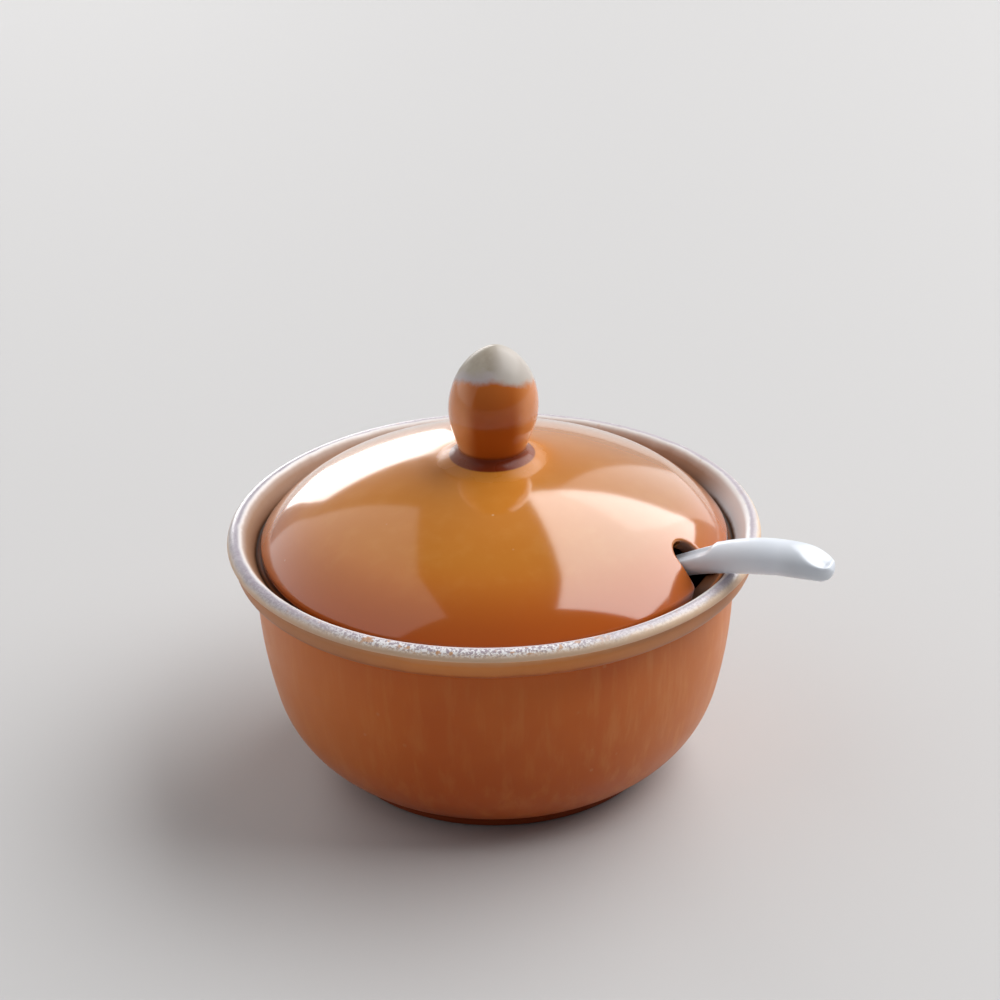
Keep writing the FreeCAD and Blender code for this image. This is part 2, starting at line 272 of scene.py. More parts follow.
under_bead, under_spread = (wall_radius + 0.3, rim_height - 6.6), 1.2
at_foot, foot_spread = (belly_centre[0] + 9.5, 0.8), 2.4
pool_and_shade = near(under_bead, under_spread) + near(at_foot, foot_spread)
print("band", band.min().round(1), band.max().round(1), "pool_and_shade", pool_and_shade.max().round(2))
rings = turned(pot_profile, POT_COLUMNS)
pot = loop_mesh("pot_glazed", rings, (0, 0, floor_height), (0, 0, foot_recess),
                {"band": np.append(np.repeat(band, POT_COLUMNS), [BAND_LOW, BAND_HIGH]),
                 "pool_and_shade": np.append(np.repeat(np.clip(pool_and_shade, 0, 1), POT_COLUMNS), [0, 0])})
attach(pot, "root")
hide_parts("pot")

# %% [markdown]
# ## Lid
# The lid is a thrown dome with a turned shoulder and a soft edge, and a knob pulled up like an acorn. A
# notch for the spoon is cut through its edge while the clay is soft, so its corners are rounded like the
# rest. The surface is a set of rings whose outer ends follow the lid's outline in plan, in and out of the
# notch.

# %% Dome and shoulder
lid_edge, edge_low, edge_land, lid_thickness = 1.36, 0.9, 0.45, 3.0
shoulder, dome_slope, shoulder_slope = 25.2, radians(26.6), radians(53.9)
edge_centre = np.array([lid_radius - lid_edge, ledge + edge_low + edge_land])
shoulder_centre = edge_centre + (lid_edge - shoulder) * np.array([sin(shoulder_slope), cos(shoulder_slope)])
dome = shoulder + shoulder_centre[0] / sin(dome_slope)
dome_z = shoulder_centre[1] - shoulder_centre[0] / tan(dome_slope)
crown = dome_z + dome
print("dome radius", round(dome, 2), "crown", round(crown, 2))


def surface_height(r, inset):
    """Height of the dome and its shoulder at radius r, moved inwards by inset along their normals."""
    dome_r, shoulder_r = dome - inset, shoulder - inset
    on_dome = dome_z + np.sqrt(np.maximum(dome_r ** 2 - r ** 2, 0))
    away = np.clip(r - shoulder_centre[0], -shoulder_r, shoulder_r)
    on_shoulder = shoulder_centre[1] + np.sqrt(shoulder_r ** 2 - away ** 2)
    return np.where(r < dome_r * sin(dome_slope), on_dome, on_shoulder)


def top_height(r):
    """Top of the lid: the dome and its shoulder themselves."""
    return surface_height(r, 0.0)


def under_height(r):
    """Underside of the lid, which ends in a flat seat on the pot's ledge."""
    return np.maximum(surface_height(r, lid_thickness), ledge)

# %% [markdown]
# The knob is pulled up from the crown and shaped like an acorn: a pointed top, a swell at its widest place,
# a neck and a soft collar. It is an outline too, so it shares its last ring with the dome and no seam
# shows.

# %% Knob outline
def knob_outline():
    """Tip, acorn, neck and soft foot of the knob, from its tip down to where it has run out into the dome.

    Above its widest place the radius falls as (1 - f^2)^0.6; below it the neck swells as sin(t)^1.2."""
    widest, widest_z, neck, neck_z = 8.37, crown + 10.0, 6.4, crown + 2.05
    collar, collar_z, collar_slope, foot = 8.3, crown + 0.2, radians(28.0), 10.6
    f = np.sin(np.linspace(pi / 2 * 0.985, 0, 34))
    acorn = np.stack([widest * (1 - f ** 2) ** 0.6, widest_z + (knob_tip - widest_z) * f], axis=1)
    t = np.linspace(1, 0, 18)
    swell = np.sin(t * pi / 2) ** 1.2
    stem = np.stack([neck + (widest - neck) * swell, neck_z + (widest_z - neck_z) * t], axis=1)
    down_collar = (cos(collar_slope), -sin(collar_slope))
    down_dome = (cos(asin(foot / dome)), -foot / dome)
    return joined(
        acorn, stem,
        eased((neck, neck_z), (0, -1), (collar, collar_z), down_collar, 12),
        eased((collar, collar_z), down_collar, (foot, float(top_height(np.array(foot)))), down_dome, 12))

print("knob foot at", knob_outline()[-1].round(2))

# %% [markdown]
# The lid's edge is rounded above and below, because a sharp edge would lose its glaze and chip. The same
# section is used all round except in the notch.

# %% Edge section
def rim_section():
    """Edge of the lid away from the notch: over its rounded edge, down its land and in along the seat."""
    under_r = shoulder - lid_thickness
    seat_end = shoulder_centre[0] + under_r * cos(asin((ledge - shoulder_centre[1]) / under_r))
    return joined(
        arc(edge_centre, lid_edge, pi / 2 - shoulder_slope, 0, 14),
        straight((lid_radius, edge_centre[1]), (lid_radius, ledge + edge_low), 4),
        arc((lid_radius - edge_low, ledge + edge_low), edge_low, 0, -pi / 2, 10),
        straight((lid_radius - edge_low, ledge), (seat_end, ledge), 5))

edge_rim = rim_section()
EDGE_ROWS = len(edge_rim)
print("edge rows", EDGE_ROWS, "knob rows", len(knob_outline()))

# %% [markdown]
# The notch is cut square to the slope of the shoulder: a round inner end and two sides that flare outwards.
# Each place on the cutter's outline is followed along the cut until it meets the top and the underside.

# %% Notch
bearing = radians(-28.0)
notch_depth, notch_round, notch_flare, cutter_length, HALVINGS = 6.3, 3.0, radians(11.5), 7.5, 40
inner = np.array([lid_radius - notch_depth, float(top_height(np.array(lid_radius - notch_depth)))])
run = np.array([lid_radius, edge_centre[1]]) - inner
outwards = run / np.linalg.norm(run)
square = np.array([-outwards[1], outwards[0]])


def pierce(along, across, height, low, high):
    """Where a line along the cut meets a surface: halves the span [low, high] until the heights agree."""
    low, high = np.full(len(along), low), np.full(len(along), high)
    for _ in range(HALVINGS):
        middle = (low + high) / 2
        u = inner[0] + along * outwards[0] + middle * square[0]
        z = inner[1] + along * outwards[1] + middle * square[1]
        above = z > height(np.hypot(u, across))
        high, low = np.where(above, middle, high), np.where(above, low, middle)
    return np.stack([u, across, z], axis=1)


def notch_half(round_steps, side_steps, length):
    """Cutter outline (along, across) from the middle of its round end to the end of one side."""
    turn = np.linspace(0, pi / 2 - notch_flare, round_steps)
    bend = np.stack([notch_round * (1 - np.cos(turn)), notch_round * np.sin(turn)], axis=1)
    side = straight(bend[-1], bend[-1] + (length - bend[-1, 0]) * np.array([1, tan(notch_flare)]), side_steps)
    return joined(bend, side)

print("notch cut along", outwards.round(3), "square to it", square.round(3))

# %% [markdown]
# The cutter's outline is the same on both sides, so one half is worked out and mirrored. It is carried up
# and down to the lid's two surfaces, which gives the notch's upper and lower lines.

# %% Notch lines
TOP_SPAN, LOW_SPAN = (-2.0, 4.0), (-7.0, 0.5)
half = notch_half(14, 11, cutter_length)
both = np.concatenate([half[:0:-1] * [1, -1], half])
top_line = pierce(both[:, 0], both[:, 1], top_height, *TOP_SPAN)
low_line = pierce(both[:, 0], both[:, 1], under_height, *LOW_SPAN)
print("notch top from", top_line[len(half) - 1].round(2), "to", top_line[-1].round(2))
print("notch below from", low_line[len(half) - 1].round(2), "to", low_line[-1].round(2))


def inset(line, width, height):
    """Places that lie width away from a plan outline, into the clay, on a surface given by its height."""
    tangent = np.gradient(line[:, :2], axis=0)
    tangent /= np.linalg.norm(tangent, axis=1)[:, None]
    away = np.stack([-tangent[:, 1], tangent[:, 0]], axis=1)
    plan = line[:, :2] + away * width
    return np.column_stack([plan, height(np.hypot(plan[:, 0], plan[:, 1]))])


def rounded(a, b, c, count):
    """Points a (1-t)^2 + 2 b t (1-t) + c t^2 for count even steps of t, the last left out."""
    t = np.linspace(0, 1, count, endpoint=False)[:, None, None]
    return a * (1 - t) ** 2 + 2 * b * t * (1 - t) + c * t ** 2

# %% [markdown]
# Both rims of the cut are softened: from the top surface, round to the wall of the cut, down it, and round
# again. A Bevel modifier could do that on a boolean cut, but here the rings stay in order and stay smooth.

# %% Notch walls
ROUND_TOP, ROUND_LOW, WALL_ROWS = 0.75, 0.5, 6
top_in = inset(top_line, ROUND_TOP, top_height)
low_in = inset(low_line, ROUND_LOW, under_height)
wall = low_line - top_line
wall_length = np.linalg.norm(wall, axis=1)[:, None]
wall_from = top_line + wall / wall_length * ROUND_TOP
wall_to = low_line - wall / wall_length * ROUND_LOW
bend_rows = (EDGE_ROWS - WALL_ROWS) // 2
share = np.linspace(0, 1, EDGE_ROWS - 2 * bend_rows, endpoint=False)[:, None, None]
notch_edge = np.concatenate([
    rounded(top_in, top_line, wall_from, bend_rows),
    wall_from * (1 - share) + wall_to * share,
    rounded(wall_to, low_line, low_in, bend_rows - 1),
    low_in[None]])
print("notch edge rows", notch_edge.shape)

# %% [markdown]
# Where a side of the notch meets the lid's edge, the soft clay rounds off. These corners are curves that
# leave the side and arrive at the edge smoothly, a few columns of points wide.

# %% Edge ring
RIM_COLUMNS, CORNER_COLUMNS = 300, 9
corner_gap = 1.5 / lid_radius
along_share, flare_share = 0.85, 0.6
start = atan2(top_in[-1, 1], top_in[-1, 0]) + corner_gap
around = np.linspace(start, 2 * pi - start, RIM_COLUMNS)
rim_edge = np.stack([edge_rim[:, :1] * np.cos(around), edge_rim[:, :1] * np.sin(around),
                     edge_rim[:, 1:] + 0 * around], axis=-1)


def corner(notch_end, rim_end, out):
    """Rounded corner: a (1 - t)^2 + 2 b t (1 - t) + c t^2 from the notch's side a to the lid's edge c.

    Its control point b lies along the side, most of the way out to the edge's radius."""
    reach = np.hypot(rim_end[:, 0], rim_end[:, 1])
    side = notch_end[:, :2]
    steps = np.sqrt(np.maximum(reach ** 2 - side[:, 1] ** 2, 0)) - side[:, 0]
    control = np.column_stack([side[:, 0] + steps * along_share,
                               side[:, 1] + out * steps * tan(notch_flare) * flare_share, rim_end[:, 2]])
    t = np.linspace(0, 1, CORNER_COLUMNS + 2)[1:-1]
    return (notch_end[:, None] * ((1 - t) ** 2)[None, :, None]
            + 2 * control[:, None] * (t * (1 - t))[None, :, None]
            + rim_end[:, None] * (t ** 2)[None, :, None])

left_corner = corner(notch_edge[:, -1], rim_edge[:, 0], 1)
right_corner = corner(notch_edge[:, 0], rim_edge[:, -1], -1)[:, ::-1]
edge = np.concatenate([notch_edge, left_corner, rim_edge, right_corner], axis=1)
column_angle = np.unwrap(np.arctan2(edge[0, :, 1], edge[0, :, 0]))
print("lid columns", edge.shape[1], "angles rise", bool((np.diff(column_angle) > 0).all()))

# %% [markdown]
# The rest of the lid is rings as well. Near the middle they are true circles; further out they ease into
# the edge ring's outline, so that they flow round the notch instead of being cut by it.

# %% Lid rings
def sheet(first_radius, last_ring, count, height):
    """Rings from a circle to the edge ring along polar lines, laid on a surface given by its height."""
    last_r = np.hypot(last_ring[:, 0], last_ring[:, 1])
    last_angle = np.unwrap(np.arctan2(last_ring[:, 1], last_ring[:, 0]))
    share = np.linspace(0, 1, count, endpoint=False)[:, None]
    r = first_radius * (1 - share) + last_r * share
    angle = column_angle * (1 - share) + last_angle * share
    return np.stack([r * np.cos(angle), r * np.sin(angle), height(r)], axis=-1)


def circles(profile):
    """Rings (r cos t, r sin t, z) with t at the angles of the edge ring's columns."""
    r, z = profile[:, :1], profile[:, 1:]
    return np.stack([r * np.cos(column_angle), r * np.sin(column_angle), z + 0 * column_angle], axis=-1)

CIRCLES_TO, FLOW_ROWS, DOME_ROWS, UNDER_ROWS = 29.0, 26, 20, 12
knob = knob_outline()
dome_r = np.linspace(knob[-1, 0], CIRCLES_TO, DOME_ROWS, endpoint=False)[1:]
under_r = np.linspace(CIRCLES_TO, 0.5, UNDER_ROWS)
lid_rings = np.concatenate([
    circles(knob),
    circles(np.column_stack([dome_r, top_height(dome_r)])),
    sheet(CIRCLES_TO, edge[0], FLOW_ROWS, top_height),
    edge,
    sheet(CIRCLES_TO, edge[-1], UNDER_ROWS, under_height)[:0:-1],
    circles(np.column_stack([under_r, under_height(under_r)]))])
turn = np.array([[cos(bearing), sin(bearing)], [-sin(bearing), cos(bearing)]])
lid_rings[..., :2] = lid_rings[..., :2] @ turn
print("lid rings", lid_rings.shape[0], "columns", lid_rings.shape[1])

# %% [markdown]
# The knob was pulled by hand and leans a little to the side. `cut` is 1 on the notch's walls and fades out
# in the corners; it carries painted shade there, where the lid's thickness and the dark inside show.

# %% Lid mesh
knob_lean = 0.045
lid_rings[:len(knob), :, 0] += knob_lean * np.maximum(lid_rings[:len(knob), :, 2] - crown, 0)
knob_top = (knob_lean * (knob_tip - crown), 0, knob_tip)
edge_from = len(knob) + len(dome_r) + FLOW_ROWS
depth = smooth(np.arange(EDGE_ROWS), 0.3 * bend_rows, bend_rows)[:, None]
fade = np.linspace(1, 0, CORNER_COLUMNS)
cut = np.zeros(lid_rings.shape[:2])
cut_rows = cut[edge_from:edge_from + EDGE_ROWS]
cut_rows[:, :notch_edge.shape[1]] = depth
cut_rows[:, notch_edge.shape[1]:notch_edge.shape[1] + CORNER_COLUMNS] = depth * fade
cut_rows[:, -CORNER_COLUMNS:] = depth * fade[::-1]
lid = loop_mesh("lid_glazed", lid_rings, knob_top, (0, 0, crown - lid_thickness),
                {"cut": np.append(cut.ravel(), [0, 0])})
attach(lid, "root")
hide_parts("lid")

# %% [markdown]
# ## Spoon
# A small porcelain spoon, slip-cast in one piece: a rounded grip that bends over the rim, a slimmer stem
# with a shallow trough on top, and an oval bowl. A curve with a bevel would give one section all along;
# here each place along the line has its own section, so grip, stem and bowl can differ. The line is two
# arcs that meet in the notch.

# %% Spoon sizes
rest_gap, handle_bend, handle_top, handle_tip = 0.3, 55.0, 14.2, 5.5
grip_w, grip_t, stem_w, stem_t = 3.9, 3.5, 2.8, 2.3
handle_dip, slimming_span, tip_round = radians(24.5), 10.5, 6.0
bowl_offset, bowl_l, bowl_w, bowl_d, bowl_wall, bowl_tilt = 17.0, 14.0, 9.5, 6.0, 1.8, radians(12.0)
over_rim = roll + rest_gap + (grip_t + stem_t) / 2
handle_centre = roll_centre + np.array([handle_top, -sqrt((handle_bend - over_rim) ** 2 - handle_top ** 2)])
dip_point = handle_centre + handle_bend * np.array([-sin(handle_dip), cos(handle_dip)])
print("handle centre", handle_centre.round(2), "dips from", dip_point.round(2))

# %% [markdown]
# The handle's arc passes over the rim with a small rest gap, and the bowl lies as far above the pot's
# floor. The stem's arc is then the one that leaves the handle smoothly and ends at the bowl.

# %% Spoon line
bowl_sag = hypot(bowl_l * sin(bowl_tilt), bowl_d * cos(bowl_tilt))
bowl_centre = np.array([-bowl_offset, floor_height + rest_gap + bowl_sag])
bowl_axis = np.array([cos(bowl_tilt), sin(bowl_tilt)])
stem_end = bowl_centre + bowl_axis * (bowl_l - bowl_wall / 2)
chord = dip_point - stem_end
stem_turn = 2 * (atan2(chord[1], chord[0]) - handle_dip)
stem_bend = np.linalg.norm(chord) / (2 * sin(stem_turn / 2))
stem_centre = dip_point - stem_bend * np.array([-sin(handle_dip), cos(handle_dip)])
tip_rise = -asin(handle_tip / handle_bend)
rim_distance = handle_bend * (asin(handle_top / (handle_bend - over_rim)) - tip_rise)
handle_length = handle_bend * (handle_dip - tip_rise)
stem_length = stem_bend * stem_turn
print("spoon line", round(handle_length, 1), "+", round(stem_length, 1), "mm, ends at", stem_end.round(2))


def spoon_line(s):
    """Centre (u, z) and slope at distances s from the tip: the handle's arc, then the stem's."""
    on_handle = s <= handle_length
    slope = np.where(on_handle, tip_rise + s / handle_bend, handle_dip + (s - handle_length) / stem_bend)
    bend = np.where(on_handle, handle_bend, stem_bend)[:, None]
    centre = np.where(on_handle[:, None], handle_centre, stem_centre)
    return centre + bend * np.stack([-np.sin(slope), np.cos(slope)], axis=1), slope

# %% [markdown]
# The handle's section is an ellipse. On its top a trough bites in, deepest in the middle and with soft
# edges, and the tip is rubbed down to a bevel that ends in a small lip. Its underside is pared thinner
# towards the tip.

# %% Handle sections
SPOON_COLUMNS, soft_join, tip_blunt = 96, 0.25, 2.6
trough_back, trough_ease, trough_depth, trough_half = 6.4, 2.0, 1.45, 1.9
theta = np.linspace(0, 2 * pi, SPOON_COLUMNS, endpoint=False)


def bump_at(s, place, spread):
    """exp(-((s - place) / spread)^2): a soft swell around one place along the line."""
    return np.exp(-((s - place) / spread) ** 2)


def closing(s, length):
    """sqrt(1 - (1 - s / length)^2): a round end that opens from nothing to full over a length."""
    return np.sqrt(1 - (1 - np.minimum(s / length, 1)) ** 2)


def tip_bevel(s):
    """Height of the rubbed tip over the line: 0.62 + 0.41 s, with a lip by the end and a hollow behind it."""
    bevel = 0.62 + 0.41 * s + 0.22 * bump_at(s, 0.7, 0.6) - 0.18 * bump_at(s, 3.2, 1.8)
    return (bevel * closing(s, 0.7))[:, None]


def trough(s, across):
    """Depth of the trough, d exp(-(across / half width)^4), plus a small dent by the tip."""
    trough_from = handle_length - trough_back
    depth = trough_depth * smooth(s, trough_from, trough_from + trough_ease)[:, None]
    dent = 0.30 * np.exp(-((s[:, None] - 1.7) / 0.6) ** 2 - ((across - 0.6) / 0.9) ** 2)
    return depth * np.exp(-(across / trough_half) ** 4) + dent


def handle_sections(s):
    """Offsets across and square to the line: (a cos t, b sin t), less the trough on the upper side.

    a and b ease from grip to stem over the rim and close at the tip; below, b loses a thin paring there.
    The bevel meets the upper side in a soft minimum, -c log(exp(-height / c) + exp(-bevel / c))."""
    ease = (1 + np.sin(pi / 2 * np.clip((s - rim_distance) / slimming_span, -1, 1))) / 2
    a = ((grip_w + (stem_w - grip_w) * ease) * closing(s, tip_round))[:, None]
    blunt = closing(s, tip_blunt)[:, None]
    b = (grip_t + (stem_t - grip_t) * ease)[:, None] * blunt
    paring = 0.85 * bump_at(s[:, None], 8.0, 9.0) + 0.5 * bump_at(s[:, None], 2.5, 3.0)
    upper = np.sin(theta) > 0
    across, square_off = a * np.cos(theta), np.where(upper, b, b - paring * blunt) * np.sin(theta)
    square_off = -soft_join * np.logaddexp(-square_off / soft_join, -tip_bevel(s) / soft_join)
    return across, square_off - np.where(upper, trough(s, across), 0.0)

print("bevel 3 mm from the tip", tip_bevel(np.array([3.0])).round(2))

# %% [markdown]
# The bowl's sections are crescents: a shell with a rounded edge, so one run of rings gives its inside and
# outside.

# %% Bowl sections
def bowl_sections(x):
    """The same two offsets for places x along the bowl: the outer oval below and the hollow oval above.

    Both ovals narrow along the bowl as w sqrt(1 - x^2 / l^2)."""
    outer = np.sqrt(np.maximum(1 - (x / bowl_l) ** 2, 0))[:, None]
    across = bowl_w * outer * np.cos(theta)
    below = -bowl_d * outer * np.abs(np.sin(theta))
    room = 1 - (x[:, None] / (bowl_l - bowl_wall)) ** 2 - (across / (bowl_w - bowl_wall)) ** 2
    above = -(bowl_d - bowl_wall) * np.sqrt(np.maximum(room, 0))
    return across, np.where(np.sin(theta) > 0, above, below)

print("bowl depth", -bowl_sections(np.array([0.0]))[1].min().round(2))

# %% [markdown]
# Sections stand close together at the tip, where the shape turns quickly, and wider apart along the stem.

# %% Spoon rings
s_tip = tip_round * (1 - np.cos(np.linspace(0, pi / 2, 34)[1:]))
s_body = np.linspace(tip_round, handle_length + stem_length - 1.5, 90)[1:]
s_all = np.concatenate([s_tip, s_body])
line, slope = spoon_line(s_all)
across, off = handle_sections(s_all)
normal = np.stack([-np.sin(slope), np.cos(slope)], axis=1)
handle_rings = np.stack([line[:, :1] + off * normal[:, :1], -across,
                         line[:, 1:] + off * normal[:, 1:]], axis=-1)

x_bowl = bowl_l * np.cos(np.linspace(0.62, pi - 0.04, 40))
b_across, b_off = bowl_sections(x_bowl)
b_line = bowl_centre + x_bowl[:, None] * bowl_axis
b_normal = np.array([-bowl_axis[1], bowl_axis[0]])
bowl_rings = np.stack([b_line[:, :1] + b_off * b_normal[0], -b_across,
                       b_line[:, 1:] + b_off * b_normal[1]], axis=-1)
print("handle rings", len(handle_rings), "bowl rings", len(bowl_rings))

# %% [markdown]
# Between stem and bowl the sections are blended, so that the stem runs into the bowl's back without a
# crease.

# %% Spoon mesh
BRIDGE = 8
t = np.linspace(0, 1, BRIDGE + 2)[1:-1][:, None, None]
ease = t * t * (3 - 2 * t)
bridge = handle_rings[-1] * (1 - ease) + bowl_rings[0] * ease
spoon_rings = np.concatenate([handle_rings, bridge, bowl_rings])
tip_point, _ = spoon_line(np.array([0.0]))
far_point = bowl_centre - bowl_l * bowl_axis
spoon_rings[..., :2] = spoon_rings[..., :2] @ turn
tip_plan = np.array([tip_point[0, 0], 0.0]) @ turn
far_plan = np.array([far_point[0], 0.0]) @ turn
spoon = loop_mesh("spoon_glazed", spoon_rings, (*tip_plan, tip_point[0, 1]), (*far_plan, far_point[1]))
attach(spoon, "root")
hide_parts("spoon")

# %% [markdown]
# ## Glazes
# Every glaze is built from the place on the piece, in metres, with noise for the way it runs, breaks and
# specks. Painted pictures could do it too, but a rule stays sharp at any size and has no seams. The first
# helper adds nodes to one material, sets their sockets and does the sums.

# %% Node helpers
class Nodes:
    """Adds shader nodes to one new material and links them."""

    def __init__(self, name):
        self.material = bpy.data.materials.new(name)
        self.material.use_nodes = True
        self.tree = self.material.node_tree
        self.tree.nodes.clear()
        self.output = self.tree.nodes.new("ShaderNodeOutputMaterial")
        self.bsdf = self.tree.nodes.new("ShaderNodeBsdfPrincipled")
        self.tree.links.new(self.bsdf.outputs["BSDF"], self.output.inputs["Surface"])
        self.place = self.tree.nodes.new("ShaderNodeTexCoord").outputs["Object"]
        split = self.tree.nodes.new("ShaderNodeSeparateXYZ")
        self.tree.links.new(self.place, split.inputs[0])
        self.x, self.y, self.z = split.outputs

    def put(self, socket, value):
        """Sets a constant on a socket, or links an output to it."""
        if isinstance(value, bpy.types.NodeSocket):
            self.tree.links.new(value, socket)
        elif isinstance(value, (tuple, list)) and len(value) == 3 and socket.type == "RGBA":
            socket.default_value = (*value, 1.0)
        else:
            socket.default_value = value

    def math(self, operation, a, b=0.0, c=0.0):
        """One sum of up to three values."""
        node = self.tree.nodes.new("ShaderNodeMath")
        node.operation = operation
        for socket, value in zip(node.inputs, (a, b, c)):
            self.put(socket, value)
        return node.outputs[0]

    def step(self, value, low, high, to_low=0.0, to_high=1.0):
        """Smooth step of value between low and high."""
        node = self.tree.nodes.new("ShaderNodeMapRange")
        node.interpolation_type = "SMOOTHSTEP"
        for key, item in (("Value", value), ("From Min", low), ("From Max", high),
                          ("To Min", to_low), ("To Max", to_high)):
            self.put(node.inputs[key], item)
        return node.outputs["Result"]

    def times(self, first, *others):
        """Product of shares."""
        for other in others:
            first = self.math("MULTIPLY", first, other)
        return first

    def apart(self, value, centre):
        """Distance of a value from a centre, |value - centre|."""
        return self.math("ABSOLUTE", self.math("SUBTRACT", value, centre))

    def shifted(self, value, noise, amount):
        """A value moved to and fro by a noise: value + amount (noise - 0.5)."""
        return self.math("MULTIPLY_ADD", self.math("SUBTRACT", noise, 0.5), amount, value)

# %% [markdown]
# The patterns come from drifting noise, scattered random points, the distance from the jar's axis, and the
# numbers that were stored on the meshes.

# %% Pattern helpers
class Patterns(Nodes):
    """Adds the patterns that the glazes read."""

    def noise(self, scale, detail=2.0, roughness=0.5, stretch=(1.0, 1.0, 1.0), offset=(0.0, 0.0, 0.0)):
        """Noise between 0 and 1, in features per metre, stretched along the axes."""
        mapping = self.tree.nodes.new("ShaderNodeMapping")
        mapping.inputs["Scale"].default_value = stretch
        mapping.inputs["Location"].default_value = offset
        self.put(mapping.inputs["Vector"], self.place)
        node = self.tree.nodes.new("ShaderNodeTexNoise")
        self.put(node.inputs["Vector"], mapping.outputs[0])
        node.inputs["Scale"].default_value = scale
        node.inputs["Detail"].default_value = detail
        node.inputs["Roughness"].default_value = roughness
        return node.outputs["Fac"]

    def cells(self, scale):
        """Distance to the nearest of random points, and a random number for each."""
        node = self.tree.nodes.new("ShaderNodeTexVoronoi")
        self.put(node.inputs["Vector"], self.place)
        node.inputs["Scale"].default_value = scale
        split = self.tree.nodes.new("ShaderNodeSeparateColor")
        self.put(split.inputs[0], node.outputs["Color"])
        return node.outputs["Distance"], split.outputs[0]

    def attribute(self, name):
        """Number stored on the mesh's points under a name."""
        node = self.tree.nodes.new("ShaderNodeAttribute")
        node.attribute_name = name
        return node.outputs["Fac"]

    def radius(self):
        """Distance from the jar's axis, sqrt(x^2 + y^2)."""
        squares = self.math("ADD", self.times(self.x, self.x), self.times(self.y, self.y))
        return self.math("SQRT", squares)

# %% [markdown]
# A glaze is a row of colours laid over one another. Each has a share between 0 and 1 that says where it
# shows.

# %% Finish helpers
class Finish(Patterns):
    """Adds colours and relief, and lays the finished material on a piece."""

    def mix(self, share, a, b):
        """Colour a where the share is 0, b where it is 1."""
        node = self.tree.nodes.new("ShaderNodeMix")
        node.data_type = "RGBA"
        self.put(node.inputs[0], share)
        self.put(node.inputs[6], a)
        self.put(node.inputs[7], b)
        return node.outputs[2]

    def ramp(self, value, low, high, stops):
        """Colours at places between low and high, blended evenly from each to the next."""
        node = self.tree.nodes.new("ShaderNodeValToRGB")
        self.put(node.inputs[0], self.math("DIVIDE", self.math("SUBTRACT", value, low), high - low))
        marks = node.color_ramp.elements
        while len(marks) < len(stops):
            marks.new(0.5)
        for mark, (place, colour) in zip(marks, stops):
            mark.position = (place - low) / (high - low)
            mark.color = (*colour, 1.0)
        return node.outputs["Color"]

    def bump(self, height, distance):
        """Relief that is the height times a distance in metres."""
        node = self.tree.nodes.new("ShaderNodeBump")
        self.put(node.inputs["Height"], height)
        node.inputs["Distance"].default_value = distance
        return node.outputs[0]

    def lay_on(self, piece, settings):
        """Sets the named inputs of the surface and puts the material on a piece."""
        for name, value in settings.items():
            self.put(self.bsdf.inputs[name], value)
        piece.data.materials.append(self.material)
        print(self.material.name, "has", len(self.tree.nodes), "nodes")

# %% [markdown]
# ### Pot glaze
# A satin, iron-brown glaze that runs in faint upright streaks. A painted sheen makes it paler on the flanks
# and on the side that faces the window, where its streaks are painted paler too; it is darker towards the
# foot, and painted shade makes it browner at the back. Streaks are noise that is stretched along the height.

# %% Pot body colours
g = Finish("pot_glaze")
streaks = g.noise(380.0, 3.0, 0.6, stretch=(1.0, 1.0, 0.15))
clouds = g.noise(38.0, 3.0, 0.5)
iron_brown, iron_amber, foot_brown = (0.540, 0.102, 0.009), (0.600, 0.134, 0.014), (0.380, 0.058, 0.004)
flank_sheen_tan, back_shade_brown, run_and_sheen_tan = (0.680, 0.245, 0.072), (0.300, 0.085, 0.020), (0.700, 0.280, 0.080)
body = g.mix(g.step(clouds, 0.3, 0.7), iron_brown, iron_amber)
body = g.mix(g.step(g.z, 0.034, 0.006, 0.0, 0.55), body, foot_brown)
# painted sheen: the flanks are painted a paler tan where light grazes them
flank_sheen = g.step(g.math("ABSOLUTE", g.x), 0.012, 0.046)
body = g.mix(g.times(flank_sheen, 0.65), body, flank_sheen_tan)
sunny = g.times(g.step(g.x, 0.005, 0.040, 0.0, 0.34), g.step(g.y, 0.010, -0.015))
# painted shade: the back is painted browner against the strong light from behind
body = g.mix(g.step(g.y, -0.008, 0.032, 0.0, 0.70), body, back_shade_brown)
# the streaks are glaze runs, painted paler on the front of the window side as painted sheen
runs_and_sheen = g.times(g.step(streaks, 0.45, 0.75), g.math("ADD", sunny, 0.18))
body = g.mix(runs_and_sheen, body, run_and_sheen_tan)
print("body colours", len(g.tree.nodes), "nodes")

# %% [markdown]
# Over the rim the glaze is drawn thin and breaks. Inside the pot the colour is painted shade; the lip runs
# from painted shade by the ledge to pale at its top, partly broken glaze and partly a painted highlight; the
# crest is lavender grey, the outer side tan, the groove dark, and the bead orange-brown. The places are
# millimetres along the outline from the crest, minus inwards, and a slow noise shifts them, so that no line
# runs quite even.

# %% Rim colours
drift = g.noise(150.0, 3.0, 0.6)
grain = g.noise(1900.0, 2.0, 0.7)
along = g.attribute("band")
band = g.shifted(along, drift, 1.1)
